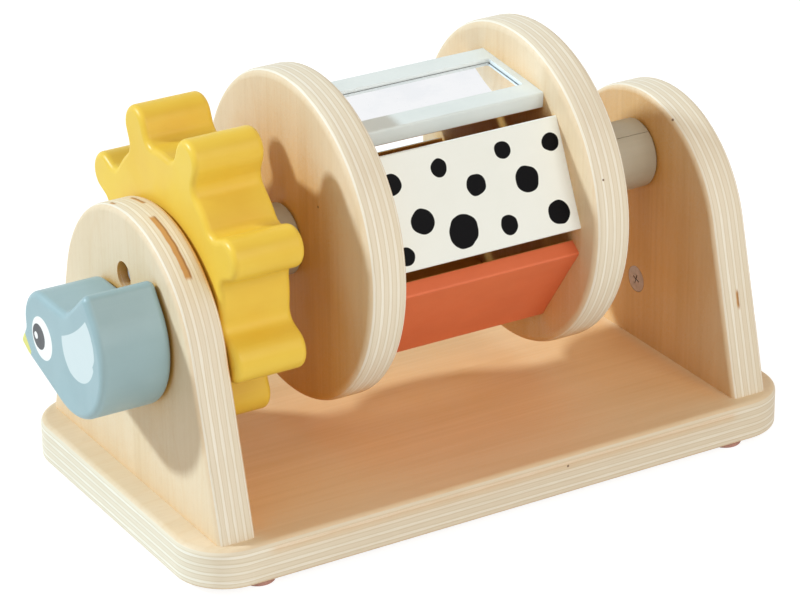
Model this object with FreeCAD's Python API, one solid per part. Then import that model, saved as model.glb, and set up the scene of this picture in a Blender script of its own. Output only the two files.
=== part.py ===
import FreeCAD, Part
import math
import os

from FreeCAD import Vector

# A baby's spinning drum toy. Two arched plywood uprights on a base board carry an axle.
# A six-sided drum and a thick cog wheel turn on the axle, kept apart by sleeves, and a bird
# knob and a round knob turn on the outer faces of the uprights.
# Millimetres. X runs along the axle with the bird at the low end, -Y is the front and Z is up.
# The shapes are drawn about the middle of the stand. When they are saved they move a little
# along X, so that the origin is on the table under the middle of the whole toy.

# Base board and the pads under it
base_length = 258.0
base_width = 144.7
base_thickness = 15.6
base_corner_radius = 20.2
base_top_edge_radius = 2.5
base_under_edge_radius = 1.2
foot_diameter = 13.0
foot_height = 3.0
foot_edge_radius = 0.8
foot_end_inset = 27.0
foot_side_inset = 9.0

# Uprights: straight sides that run up as tangents into a round arch.
# Heights from here on are measured from the top of the base board.
upright_thickness = 15.3
upright_foot_width = 133.4
upright_arch_radius = 51.2
upright_arch_height = 53.3
upright_end_inset = 10.2
upright_edge_radius = 2.5
upright_screw_spread = 70.0

# Axle and the loose sleeves that hang on it
axle_height = 79.7
axle_diameter = 12.0
axle_socket_depth = 4.0
sleeve_diameter = 27.0
sleeve_end_chamfer = 0.8
sleeve_drop = 0.6
cog_sleeve_length = 21.15
drum_sleeve_seam_width = 0.3
drum_sleeve_seam_depth = 0.4
drum_sleeve_seam_turn = 34.7

# Cog wheel
cog_teeth = 8
cog_root_radius = 43.9
cog_tooth_height = 15.0
cog_tooth_width = 15.7
cog_root_fillet = 5.0
cog_thickness = 28.5
cog_edge_radius = 2.5
cog_side_gap = 0.5

# Drum: two discs with flat panels between them
disc_radius = 62.4
disc_thickness = 15.4
disc_edge_radius = 3.0
panel_count = 6
panel_span = 79.9
panel_thickness = 6.4
panel_face_distance = 47.3
panel_side_gap = 2.3
panel_edge_radius = 0.8
panel_seat_depth = 3.0
drum_turn = 5.7
mirror_side_border = 9.3
mirror_end_border = 3.0
mirror_recess_depth = 3.0
mirror_corner_radius = 1.0
mirror_plate_thickness = 1.6

# Knobs: the bird is cut from a thick board and the round knob from a thinner one
bird_thickness = 27.8
round_knob_thickness = 14.6
round_knob_height = 25.0
round_knob_diameter = 36.0
round_knob_edge_radius = 4.0

# Bird knob: a round body and a round head. Across runs from beak to tail, and across and up
# are measured from the pivot. Reaches are measured outwards from the head or body circle.
bird_pivot_height = 60.5
bird_edge_radius = 2.6
bird_body_radius = 27.2
bird_body_across = 11.0
bird_body_up = 3.0
bird_tail_angle = 60.0
bird_tail_reach = 2.5
bird_tail_round = 3.0
bird_head_radius = 13.7
bird_head_across = -11.5
bird_head_up = 0.6
bird_nape_across = 9.0
bird_nape_round = 9.0
bird_cheek_angle = 195.0
bird_beak_angle = 211.0
bird_beak_reach = 8.0
bird_beak_round = 2.0
bird_throat_angle = 231.0
bird_throat_reach = 5.5
bird_throat_round = 4.0

# Screws and washers
upright_screw_diameter = 4.0
upright_screw_head_diameter = 8.0
upright_screw_grip = 26.0
axle_screw_diameter = 4.0
axle_screw_length = 26.0
axle_screw_head_diameter = 9.6
axle_screw_head_height = 3.0
axle_screw_rim_height = 1.3
axle_screw_flat_diameter = 4.0
counterbore_diameter = 10.6
counterbore_depth = 6.0
pivot_screw_diameter = 5.0
pivot_screw_head_diameter = 10.6
pivot_screw_grip = 10.0
flat_head_rim = 0.3
flat_head_half_angle = 45.0
washer_diameter = 16.0
washer_thickness = 0.6

# Clearances: on the radius of what turns, around what is fixed, and endwise
running_fit = 0.08
seat_fit = 0.05
side_play = 0.3

# Heights and places that follow from the sizes above
base_top = foot_height + base_thickness
axle_z = base_top + axle_height
sleeve_z = axle_z - sleeve_drop
bird_z = base_top + bird_pivot_height
round_knob_z = base_top + round_knob_height
upright_outer = base_length / 2 - upright_end_inset
upright_inner = upright_outer - upright_thickness
cog_left = -upright_inner + cog_side_gap
cog_right = cog_left + cog_thickness
cog_sleeve_left = cog_right + side_play
cog_sleeve_right = cog_sleeve_left + cog_sleeve_length
left_disc_outer = cog_sleeve_right + side_play
left_disc_inner = left_disc_outer + disc_thickness
right_disc_inner = left_disc_inner + panel_span
right_disc_outer = right_disc_inner + disc_thickness
drum_sleeve_left = right_disc_outer + side_play
drum_sleeve_right = upright_inner - side_play
knob_inner = upright_outer + side_play + washer_thickness
bird_outer = knob_inner + bird_thickness
round_knob_outer = knob_inner + round_knob_thickness
middle_shift = (bird_outer - round_knob_outer) / 2
panel_step = 360.0 / panel_count
panel_back_distance = panel_face_distance - panel_thickness
panel_width = 2 * (panel_back_distance * math.tan(math.radians(panel_step / 2)) - panel_side_gap)
running_bore = axle_diameter + 2 * running_fit

X_AXIS = Vector(1, 0, 0)
AXLE_POINT = Vector(0, 0, axle_z)
NEAR = 1e-4


def edges_in_plane(shape, axis, value):
    """Edges that lie wholly in the plane where one coordinate has the given value."""
    found = []
    for edge in shape.Edges:
        low = getattr(edge.BoundBox, axis + "Min")
        high = getattr(edge.BoundBox, axis + "Max")
        if abs(low - value) < NEAR and abs(high - value) < NEAR:
            found.append(edge)
    return found


def edges_along(shape, axis):
    """Straight edges that run along one axis."""
    found = []
    for edge in shape.Edges:
        box = edge.BoundBox
        spans = {"X": box.XLength, "Y": box.YLength, "Z": box.ZLength}
        along = spans.pop(axis)
        if along > NEAR and max(spans.values()) < NEAR:
            found.append(edge)
    return found


def rod(x_one, x_other, diameter, z):
    """Cylinder along X between two places."""
    start = Vector(min(x_one, x_other), 0, z)
    return Part.makeCylinder(diameter / 2, abs(x_other - x_one), start, X_AXIS)


def round_rims(shape, x_one, x_other, radius):
    """Rounds every edge of the two end faces."""
    rims = edges_in_plane(shape, "X", x_one) + edges_in_plane(shape, "X", x_other)
    return shape.makeFillet(radius, rims)


def turned(profile, x, z, towards):
    """Solid of revolution about X. Profile points are (distance along the axis, radius)."""
    points = []
    for along, radius in profile:
        points.append(Vector(x + towards * along, 0, z + radius))
    points.append(points[0])
    return Part.Face(Part.makePolygon(points)).revolve(Vector(x, 0, z), X_AXIS, 360)


def flat_head_profile(head_diameter, shank_diameter, length, gap, play):
    """Half outline of a countersunk screw, or of its hole when there is a gap or play."""
    head = head_diameter / 2 + gap
    shank = shank_diameter / 2 + gap
    rim = flat_head_rim + play
    neck = rim + (head - shank) / math.tan(math.radians(flat_head_half_angle))
    end = length + gap
    return [(0, 0), (0, head), (rim, head), (neck, shank), (end, shank), (end, 0)]


def upright_screw_places():
    """Middle of each screw that holds an upright down."""
    x_middle = (upright_outer + upright_inner) / 2
    places = []
    for x in (-x_middle, x_middle):
        for y in (-upright_screw_spread / 2, upright_screw_spread / 2):
            places.append((x, y))
    return places


def upright_screw(x, y, gap=0.0):
    """Countersunk screw that stands up through the base. A gap makes the hole for it."""
    length = base_thickness + upright_screw_grip
    profile = flat_head_profile(upright_screw_head_diameter, upright_screw_diameter, length, gap, 0.0)
    screw = turned(profile, 0, 0, 1)
    screw.rotate(Vector(0, 0, 0), Vector(0, 1, 0), -90)
    screw.translate(Vector(x, y, foot_height))
    return screw


def base_board():
    """Board with rounded corners, softened edges and countersunk screw holes."""
    corner = Vector(-base_length / 2, -base_width / 2, foot_height)
    board = Part.makeBox(base_length, base_width, base_thickness, corner)
    board = board.makeFillet(base_corner_radius, edges_along(board, "Z"))
    board = board.makeFillet(base_top_edge_radius, edges_in_plane(board, "Z", base_top))
    board = board.makeFillet(base_under_edge_radius, edges_in_plane(board, "Z", foot_height))
    for x, y in upright_screw_places():
        board = board.cut(upright_screw(x, y, seat_fit))
    return board


def foot_pads():
    """Four round pads under the corners of the base."""
    pads = []
    x_place = base_length / 2 - foot_end_inset
    y_place = base_width / 2 - foot_side_inset
    for x in (-x_place, x_place):
        for y in (-y_place, y_place):
            pad = Part.makeCylinder(foot_diameter / 2, foot_height, Vector(x, y, 0))
            pads.append(pad.makeFillet(foot_edge_radius, edges_in_plane(pad, "Z", 0.0)))
    return Part.makeCompound(pads)


def upright_blank(x_start):
    """Plain upright: tangent sides from the foot into the arch, edges rounded, foot left square."""
    half_foot = upright_foot_width / 2
    reach = math.hypot(half_foot, upright_arch_height)
    to_centre = math.atan2(upright_arch_height, -half_foot)
    lean = to_centre - math.asin(upright_arch_radius / reach)
    side = math.sqrt(reach ** 2 - upright_arch_radius ** 2)
    shoulder_y = half_foot + side * math.cos(lean)
    shoulder_z = base_top + side * math.sin(lean)
    front_foot = Vector(x_start, -half_foot, base_top)
    back_foot = Vector(x_start, half_foot, base_top)
    front_shoulder = Vector(x_start, -shoulder_y, shoulder_z)
    back_shoulder = Vector(x_start, shoulder_y, shoulder_z)
    crown = Vector(x_start, 0, base_top + upright_arch_height + upright_arch_radius)
    outline = Part.Wire([
        Part.makeLine(front_foot, back_foot),
        Part.makeLine(back_foot, back_shoulder),
        Part.Arc(back_shoulder, crown, front_shoulder).toShape(),
        Part.makeLine(front_shoulder, front_foot),
    ])
    blank = Part.Face(outline).extrude(Vector(upright_thickness, 0, 0))
    soft_edges = []
    for x in (x_start, x_start + upright_thickness):
        for edge in edges_in_plane(blank, "X", x):
            if edge.BoundBox.ZLength > NEAR:
                soft_edges.append(edge)
    return blank.makeFillet(upright_edge_radius, soft_edges)


def pivot_screw(side, z, gap=0.0, play=0.0):
    """Countersunk screw from an upright's inner face out into its knob, or the hole for it."""
    length = knob_inner - upright_inner + pivot_screw_grip
    profile = flat_head_profile(pivot_screw_head_diameter, pivot_screw_diameter, length, gap, play)
    return turned(profile, side * upright_inner, z, side)


def upright(side, pivot_z):
    """One upright, bored for the axle, its screw, the knob's pivot and the screws from below."""
    outer = side * upright_outer
    inner = side * upright_inner
    body = upright_blank(min(outer, inner))
    body = body.cut(rod(inner, inner + side * axle_socket_depth, axle_diameter + 2 * seat_fit, axle_z))
    body = body.cut(rod(outer, outer - side * counterbore_depth, counterbore_diameter, axle_z))
    body = body.cut(rod(outer, inner, axle_screw_diameter + 2 * seat_fit, axle_z))
    body = body.cut(pivot_screw(side, pivot_z, running_fit, side_play))
    for x, y in upright_screw_places():
        if x * side > 0:
            body = body.cut(upright_screw(x, y, seat_fit))
    return body


def axle_screw(side, gap=0.0):
    """Domed screw that sits in an upright's counterbore and runs into the end of the axle."""
    shank = axle_screw_diameter / 2 + gap
    head = axle_screw_head_diameter / 2
    flat = axle_screw_flat_diameter / 2
    end = -axle_screw_length - gap
    profile = [
        (end, 0),
        (end, shank),
        (0, shank),
        (0, head),
        (axle_screw_rim_height, head),
        (axle_screw_head_height, flat),
        (axle_screw_head_height, 0),
    ]
    return turned(profile, side * (upright_outer - counterbore_depth), axle_z, side)


def axle_rod():
    """Wooden rod whose ends sit in sockets in the uprights, bored for the two end screws."""
    end = upright_inner + axle_socket_depth - seat_fit
    body = rod(-end, end, axle_diameter, axle_z)
    for side in (-1, 1):
        body = body.cut(axle_screw(side, seat_fit))
    return body


def sleeve(x_start, x_end):
    """Painted tube with chamfered ends, its bore wide enough to hang low on the axle."""
    tube = rod(x_start, x_end, sleeve_diameter, sleeve_z)
    rims = edges_in_plane(tube, "X", x_start) + edges_in_plane(tube, "X", x_end)
    tube = tube.makeChamfer(sleeve_end_chamfer, rims)
    bore = axle_diameter + 2 * (seat_fit + sleeve_drop)
    return tube.cut(rod(x_start, x_end, bore, sleeve_z))


def drum_sleeve():
    """The longer sleeve, with the fine seam that runs along it."""
    floor = sleeve_diameter / 2 - drum_sleeve_seam_depth
    length = drum_sleeve_right - drum_sleeve_left
    corner = Vector(drum_sleeve_left, -drum_sleeve_seam_width / 2, sleeve_z + floor)
    seam = Part.makeBox(length, drum_sleeve_seam_width, 2 * drum_sleeve_seam_depth, corner)
    seam.rotate(Vector(0, 0, sleeve_z), X_AXIS, drum_sleeve_seam_turn)
    return sleeve(drum_sleeve_left, drum_sleeve_right).cut(seam)


def cog_outline():
    """Thumb-shaped teeth with round tips, joined to the root circle by concave fillets."""
    half = cog_tooth_width / 2
    tip_radius = cog_root_radius + cog_tooth_height
    tip_centre = tip_radius - half
    fillet_across = half + cog_root_fillet
    fillet_along = math.sqrt((cog_root_radius + cog_root_fillet) ** 2 - fillet_across ** 2)
    flank_angle = math.pi / 2
    root_angle = math.atan2(fillet_across, fillet_along)
    middle_angle = (root_angle + flank_angle) / 2
    pitch = 2 * math.pi / cog_teeth

    def place(along, across, turn):
        """Point in the cog's plane, given along and across a line turned from the back."""
        y = along * math.cos(turn) - across * math.sin(turn)
        z = along * math.sin(turn) + across * math.cos(turn)
        return Vector(cog_left, y, axle_z + z)

    def fillet_point(angle, side, turn):
        """Point on a root fillet, the angle measured at the fillet's own centre."""
        along = fillet_along - cog_root_fillet * math.cos(angle)
        across = fillet_across - cog_root_fillet * math.sin(angle)
        return place(along, side * across, turn)

    edges = []
    for tooth in range(cog_teeth):
        turn = pitch * (tooth + 0.5)
        low_root = fillet_point(root_angle, -1, turn)
        low_fillet = fillet_point(middle_angle, -1, turn)
        low_flank = fillet_point(flank_angle, -1, turn)
        low_tip = place(tip_centre, -half, turn)
        tip = place(tip_radius, 0, turn)
        high_tip = place(tip_centre, half, turn)
        high_flank = fillet_point(flank_angle, 1, turn)
        high_fillet = fillet_point(middle_angle, 1, turn)
        high_root = fillet_point(root_angle, 1, turn)
        valley = place(cog_root_radius, 0, turn + pitch / 2)
        next_root = fillet_point(root_angle, -1, turn + pitch)
        edges.append(Part.Arc(low_root, low_fillet, low_flank).toShape())
        edges.append(Part.makeLine(low_flank, low_tip))
        edges.append(Part.Arc(low_tip, tip, high_tip).toShape())
        edges.append(Part.makeLine(high_tip, high_flank))
        edges.append(Part.Arc(high_flank, high_fillet, high_root).toShape())
        edges.append(Part.Arc(high_root, valley, next_root).toShape())
    return Part.Wire(edges)


def cog_wheel():
    """Thick cog with rounded teeth and softened edges, bored to run on the axle."""
    blank = Part.Face(cog_outline()).extrude(Vector(cog_thickness, 0, 0))
    blank = round_rims(blank, cog_left, cog_right, cog_edge_radius)
    return blank.cut(rod(cog_left, cog_right, running_bore, axle_z))


def panel_bar(index, x_one, x_other, gap=0.0):
    """Flat bar on one side of the drum. A gap widens it into the seat for a panel's end."""
    width = panel_width + 2 * gap
    corner = Vector(min(x_one, x_other), -width / 2, axle_z + panel_back_distance - gap)
    bar = Part.makeBox(abs(x_other - x_one), width, panel_thickness + 2 * gap, corner)
    bar = bar.makeFillet(panel_edge_radius + gap, edges_along(bar, "X"))
    bar.rotate(AXLE_POINT, X_AXIS, drum_turn + index * panel_step)
    return bar


def drum_panel(index):
    """Panel that reaches into its seats in both discs."""
    reach = panel_seat_depth - seat_fit
    return panel_bar(index, left_disc_inner - reach, right_disc_inner + reach)


def drum_disc(x_outer, x_inner, outwards):
    """Disc with round edges, bored for the axle, with seats for the panels in its inner face."""
    disc = rod(x_outer, x_inner, 2 * disc_radius, axle_z)
    disc = round_rims(disc, x_outer, x_inner, disc_edge_radius)
    disc = disc.cut(rod(x_outer, x_inner, running_bore, axle_z))
    for index in range(panel_count):
        seat_floor = x_inner + outwards * panel_seat_depth
        disc = disc.cut(panel_bar(index, x_inner, seat_floor, seat_fit))
    return disc


def mirror_block(height, gap):
    """Block with round corners that stands on the floor of the mirror frame's recess."""
    length = panel_span - 2 * mirror_end_border - 2 * gap
    width = panel_width - 2 * mirror_side_border - 2 * gap
    floor = panel_face_distance - mirror_recess_depth
    corner = Vector(left_disc_inner + mirror_end_border + gap, -width / 2, axle_z + floor)
    block = Part.makeBox(length, width, height, corner)
    block = block.makeFillet(mirror_corner_radius, edges_along(block, "Z"))
    block.rotate(AXLE_POINT, X_AXIS, drum_turn)
    return block


def mirror_frame():
    """Top panel of the drum with a shallow recess for the mirror."""
    return drum_panel(0).cut(mirror_block(2 * mirror_recess_depth, 0.0))


def mirror_plate():
    """Thin mirror that lies on the floor of the recess."""
    return mirror_block(mirror_plate_thickness, seat_fit)


def bird_place(across, up):
    """Point on the bird's outer face."""
    return Vector(-bird_outer, -across, bird_z + up)


def head_point(degrees, reach=0.0):
    """Point on the bird's head circle, or beyond it by a reach."""
    angle = math.radians(degrees)
    radius = bird_head_radius + reach
    return bird_place(bird_head_across + radius * math.cos(angle), bird_head_up + radius * math.sin(angle))


def body_point(degrees, reach=0.0):
    """Point on the bird's body circle, or beyond it by a reach."""
    angle = math.radians(degrees)
    radius = bird_body_radius + reach
    return bird_place(bird_body_across + radius * math.cos(angle), bird_body_up + radius * math.sin(angle))


def body_tangent_angle(point, way):
    """Where on the body circle a tangent from an outside point touches, on one of its two sides."""
    across = -point.y - bird_body_across
    up = point.z - bird_z - bird_body_up
    spread = math.acos(bird_body_radius / math.hypot(across, up))
    return math.degrees(math.atan2(up, across) + way * spread)


def bird_knob():
    """Thick bird cut from one board, its corners and edges rounded, bored for its pivot screw."""
    tail = body_point(bird_tail_angle, bird_tail_reach)
    beak = head_point(bird_beak_angle, bird_beak_reach)
    throat = head_point(bird_throat_angle, bird_throat_reach)
    cheek = head_point(bird_cheek_angle)
    crown = head_point(90)
    nape = bird_place(bird_nape_across, bird_head_up + bird_head_radius)
    back_angle = body_tangent_angle(tail, -1)
    belly_angle = body_tangent_angle(throat, 1)
    back = body_point(back_angle)
    belly = body_point(belly_angle)
    outline = Part.Wire([
        Part.makeLine(tail, back),
        Part.Arc(back, body_point((back_angle + belly_angle) / 2), belly).toShape(),
        Part.makeLine(belly, throat),
        Part.makeLine(throat, beak),
        Part.makeLine(beak, cheek),
        Part.Arc(cheek, head_point((90 + bird_cheek_angle) / 2), crown).toShape(),
        Part.makeLine(crown, nape),
        Part.makeLine(nape, tail),
    ])
    bird = Part.Face(outline).extrude(Vector(bird_thickness, 0, 0))
    rounded_corners = [
        (tail, bird_tail_round),
        (beak, bird_beak_round),
        (throat, bird_throat_round),
        (cheek, bird_throat_round),
        (nape, bird_nape_round),
    ]
    for point, radius in rounded_corners:
        corner_edges = []
        for edge in edges_along(bird, "X"):
            if edge.distToShape(Part.Vertex(point))[0] < NEAR:
                corner_edges.append(edge)
        bird = bird.makeFillet(radius, corner_edges)
    bird = round_rims(bird, -bird_outer, -knob_inner, bird_edge_radius)
    return bird.cut(pivot_screw(-1, bird_z, seat_fit))


def round_knob():
    """Plain turned knob with well rounded rims, bored for its pivot screw."""
    knob = rod(knob_inner, round_knob_outer, round_knob_diameter, round_knob_z)
    knob = round_rims(knob, knob_inner, round_knob_outer, round_knob_edge_radius)
    return knob.cut(pivot_screw(1, round_knob_z, seat_fit))


def knob_washer(side, z):
    """Washer that lies on a knob's inner face and keeps it off the upright."""
    ring = rod(side * knob_inner, side * (knob_inner - washer_thickness), washer_diameter, z)
    return ring.cut(pivot_screw(side, z, seat_fit))


def write(name, shape):
    """Moves one node so that the origin is under the middle, saves it and prints what it holds."""
    shape.translate(Vector(middle_shift, 0, 0))
    shape.exportStep("parts/" + name + ".step")
    print(name, len(shape.Solids), "solid(s),", round(shape.Volume), "mm3, valid:", shape.isValid())


os.makedirs("parts", exist_ok=True)
write("base_board", base_board())
write("foot_pads", foot_pads())
write("left_upright", upright(-1, bird_z))
write("right_upright", upright(1, round_knob_z))
write("upright_screws", Part.makeCompound([upright_screw(x, y) for x, y in upright_screw_places()]))
write("axle_rod", axle_rod())
write("axle_screws", Part.makeCompound([axle_screw(-1), axle_screw(1)]))
write("cog_sleeve", sleeve(cog_sleeve_left, cog_sleeve_right))
write("drum_sleeve", drum_sleeve())
write("cog_wheel", cog_wheel())
write("left_disc", drum_disc(left_disc_outer, left_disc_inner, -1))
write("right_disc", drum_disc(right_disc_outer, right_disc_inner, 1))
write("mirror_frame", mirror_frame())
write("mirror_plate", mirror_plate())
plain_panels = ["dotted_panel", "terracotta_panel", "yellow_panel", "blue_panel", "birch_panel"]
for index, name in enumerate(plain_panels, start=1):
    write(name, drum_panel(index))
write("bird_knob", bird_knob())
write("bird_screw", pivot_screw(-1, bird_z))
write("bird_washer", knob_washer(-1, bird_z))
write("round_knob", round_knob())
write("round_knob_screw", pivot_screw(1, round_knob_z))
write("round_knob_washer", knob_washer(1, round_knob_z))
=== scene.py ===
# %% [markdown]
# # A spinning drum toy, dressed for the camera
# The toy is a plywood stand with two arched uprights. A six-sided drum and a thick yellow cog
# turn on the axle between them, and a painted bird turns outside the left upright.
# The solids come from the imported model, which is loaded first and never moved. Everything in this
# lesson is about how they look: birch plywood, satin paint, a small mirror and a few screws.

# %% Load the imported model
import math

import bmesh
import bpy
from mathutils import Matrix, Vector


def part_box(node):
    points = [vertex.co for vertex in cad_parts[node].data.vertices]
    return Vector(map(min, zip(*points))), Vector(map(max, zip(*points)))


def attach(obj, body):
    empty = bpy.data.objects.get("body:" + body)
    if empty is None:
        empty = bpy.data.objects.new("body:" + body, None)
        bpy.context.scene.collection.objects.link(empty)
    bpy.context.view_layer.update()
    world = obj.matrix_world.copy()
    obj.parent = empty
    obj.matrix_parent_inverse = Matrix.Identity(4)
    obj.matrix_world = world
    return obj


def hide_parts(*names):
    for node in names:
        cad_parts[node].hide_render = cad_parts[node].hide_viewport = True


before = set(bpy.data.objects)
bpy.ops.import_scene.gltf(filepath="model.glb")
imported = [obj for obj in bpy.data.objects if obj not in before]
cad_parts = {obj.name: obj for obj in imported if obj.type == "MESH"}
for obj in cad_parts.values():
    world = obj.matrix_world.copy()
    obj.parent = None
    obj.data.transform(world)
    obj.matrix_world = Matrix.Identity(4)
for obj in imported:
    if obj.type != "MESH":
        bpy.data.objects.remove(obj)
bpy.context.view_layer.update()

MM = 0.001

# %% [markdown]
# ## View settings
# A product picture should show a colour about as it is written. Blender's Standard view transform
# does that, while its filmic ones bend bright colours towards grey.

# %% Show colours as written
bpy.context.scene.view_settings.view_transform = "Standard"
print("view transform:", bpy.context.scene.view_settings.view_transform)

# %% [markdown]
# ## Camera
# The picture was taken with a long lens from the front left, looking down by about a quarter of a
# right angle. A camera can be aimed with a Track To constraint, but here its three axes are worked
# out and written into its matrix, because the photographer's camera was also tilted a little.

# %% Camera
LENS = 158.47
SENSOR_WIDTH = 36.0
CAMERA_AZIMUTH = math.radians(-30.656)
CAMERA_ELEVATION = math.radians(24.663)
CAMERA_ROLL = math.radians(-0.594)
CAMERA_DISTANCE = 1325.93 * MM
CAMERA_TARGET = Vector((2.30, 0.0, 60.76)) * MM

level = math.cos(CAMERA_ELEVATION)
backwards = Vector((
    math.sin(CAMERA_AZIMUTH) * level,
    -math.cos(CAMERA_AZIMUTH) * level,
    math.sin(CAMERA_ELEVATION),
))
rightwards = Vector((0, 0, 1)).cross(backwards).normalized()
upwards = backwards.cross(rightwards)
camera_right = rightwards * math.cos(CAMERA_ROLL) + upwards * math.sin(CAMERA_ROLL)
camera_up = backwards.cross(camera_right)

camera = bpy.data.objects.new("camera", bpy.data.cameras.new("camera"))
camera.data.lens = LENS
camera.data.sensor_width = SENSOR_WIDTH
camera_axes = Matrix((camera_right, camera_up, backwards)).transposed().to_4x4()
camera.matrix_world = Matrix.Translation(CAMERA_TARGET + backwards * CAMERA_DISTANCE) @ camera_axes
bpy.context.scene.collection.objects.link(camera)
bpy.context.scene.camera = camera
print("camera at", [round(c, 3) for c in camera.matrix_world.translation])

# %% [markdown]
# ## Node helpers
# Materials in this lesson are made of small nodes. Adding each one by hand takes four lines, so
# these helpers add a node, join or fill its inputs, and hand back its output. The helper `wire`
# takes either another node's output, which it links, or a plain value, which it writes in.

# %% Node helpers
def wire(tree, socket, value):
    """Links an output to a socket, or writes a plain value into it."""
    if isinstance(value, bpy.types.NodeSocket):
        tree.links.new(value, socket)
    else:
        socket.default_value = value


def maths(tree, operation, *values):
    """Math node with one to three inputs."""
    node = tree.nodes.new("ShaderNodeMath")
    node.operation = operation
    for socket, value in zip(node.inputs, values):
        wire(tree, socket, value)
    return node.outputs[0]


def rise(tree, value, start, end):
    """Goes smoothly from 0 at start to 1 at end, or the other way when start is the larger."""
    node = tree.nodes.new("ShaderNodeMapRange")
    node.interpolation_type = "SMOOTHSTEP"
    wire(tree, node.inputs["Value"], value)
    wire(tree, node.inputs["From Min"], start)
    wire(tree, node.inputs["From Max"], end)
    return node.outputs["Result"]


def between(tree, value, low, high, soft):
    """Mask that is 1 between two values, with soft ends."""
    enters = rise(tree, value, low - soft, low + soft)
    leaves = rise(tree, value, high + soft, high - soft)
    return maths(tree, "MULTIPLY", enters, leaves)


def vector(tree, x, y, z):
    """Three values as one vector."""
    node = tree.nodes.new("ShaderNodeCombineXYZ")
    for socket, value in zip(node.inputs, (x, y, z)):
        wire(tree, socket, value)
    return node.outputs[0]


def noise(tree, where, scale, detail=2.0, roughness=0.5):
    """Noise between 0 and 1, mostly near the middle."""
    node = tree.nodes.new("ShaderNodeTexNoise")
    wire(tree, node.inputs["Vector"], where)
    wire(tree, node.inputs["Scale"], scale)
    wire(tree, node.inputs["Detail"], detail)
    wire(tree, node.inputs["Roughness"], roughness)
    return node.outputs[0]


def mix(tree, share, first, second):
    """Colour that goes from first to second as share goes from 0 to 1."""
    node = tree.nodes.new("ShaderNodeMix")
    node.data_type = "RGBA"
    wire(tree, node.inputs[0], share)
    wire(tree, node.inputs[6], first)
    wire(tree, node.inputs[7], second)
    return node.outputs[2]


def colour(code):
    """Linear colour from a six-digit screen colour such as E8D4B0."""
    channels = []
    for start in (0, 2, 4):
        value = int(code[start:start + 2], 16) / 255
        linear = value / 12.92 if value <= 0.04045 else ((value + 0.055) / 1.055) ** 2.4
        channels.append(linear)
    return (*channels, 1.0)


print("a mid grey of 808080 is", round(colour("808080")[0], 3), "in linear light")

# %% [markdown]
# ## Node groups
# Effects that several finishes share are built once as node groups. A group has named inputs and
# outputs, and each material places it with its own values. These three helpers start a group,
# place one, and join a group's results to its outputs.

# %% Group helpers
SOCKETS = {"Point": "NodeSocketVector"}


def start_group(name, takes, gives):
    """New shader group with its inputs and outputs. Hands back the tree and both ends."""
    group = bpy.data.node_groups.new(name, "ShaderNodeTree")
    for way, labels in (("INPUT", takes), ("OUTPUT", gives)):
        for label in labels:
            kind = SOCKETS.get(label, "NodeSocketFloat")
            group.interface.new_socket(label, in_out=way, socket_type=kind)
    arriving = group.nodes.new("NodeGroupInput").outputs
    leaving = group.nodes.new("NodeGroupOutput").inputs
    return group, arriving, leaving


def use(tree, group, **values):
    """Places a group in a material and hands back its outputs."""
    node = tree.nodes.new("ShaderNodeGroup")
    node.node_tree = group
    for label, value in values.items():
        wire(tree, node.inputs[label], value)
    return node.outputs


def give(tree, leaving, **values):
    """Joins a group's results to its outputs."""
    for label, value in values.items():
        wire(tree, leaving[label], value)


print("group helpers ready")

# %% [markdown]
# ### Place in millimetres
# Grain and print are laid out in millimetres, like a workshop drawing. Every solid of the model
# has its origin at the model's origin, so Object coordinates give the place in the toy itself, and
# they turn with the piece when it turns.

# %% Group: place in millimetres
place_group, arriving, leaving = start_group("place in millimetres", [], ["Point", "X", "Y", "Z"])
coordinates = place_group.nodes.new("ShaderNodeTexCoord").outputs["Object"]
enlarge = place_group.nodes.new("ShaderNodeVectorMath")
enlarge.operation = "SCALE"
wire(place_group, enlarge.inputs[0], coordinates)
wire(place_group, enlarge.inputs["Scale"], 1 / MM)
split = place_group.nodes.new("ShaderNodeSeparateXYZ")
wire(place_group, split.inputs[0], enlarge.outputs[0])
wire(place_group, leaving["Point"], enlarge.outputs[0])
for axis in "XYZ":
    wire(place_group, leaving[axis], split.outputs[axis])
print("made", place_group.name)

# %% [markdown]
# ### Birch grain
# Birch is pale and even. Up close it has fine streaks along the grain, broad soft bands, short
# dark pores, and here and there the long arches where a veneer was peeled through the growth
# rings. Noise that is stretched along one direction gives streaks: each pair of numbers says how
# finely it changes along the grain and across it. The arches are contour lines of a very soft
# noise, which is how the rings really come about.

# %% Group: birch grain
STREAK_SCALES = (0.014, 0.62)
BAND_SCALES = (0.007, 0.075)
PORE_SCALES = (0.22, 3.1)
RING_SCALES = (0.0055, 0.03)
RING_COUNT = 22.0

birch_grain, arriving, leaving = start_group(
    "birch grain", ["Along", "Across", "Depth"], ["Streaks", "Bands", "Pores", "Arches"])


def stretched(tree, along_scale, across_scale):
    """Place in the board, drawn out along the grain."""
    along = maths(tree, "MULTIPLY", arriving["Along"], along_scale)
    across = maths(tree, "MULTIPLY", arriving["Across"], across_scale)
    depth = maths(tree, "MULTIPLY", arriving["Depth"], across_scale)
    return vector(tree, along, across, depth)


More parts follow.
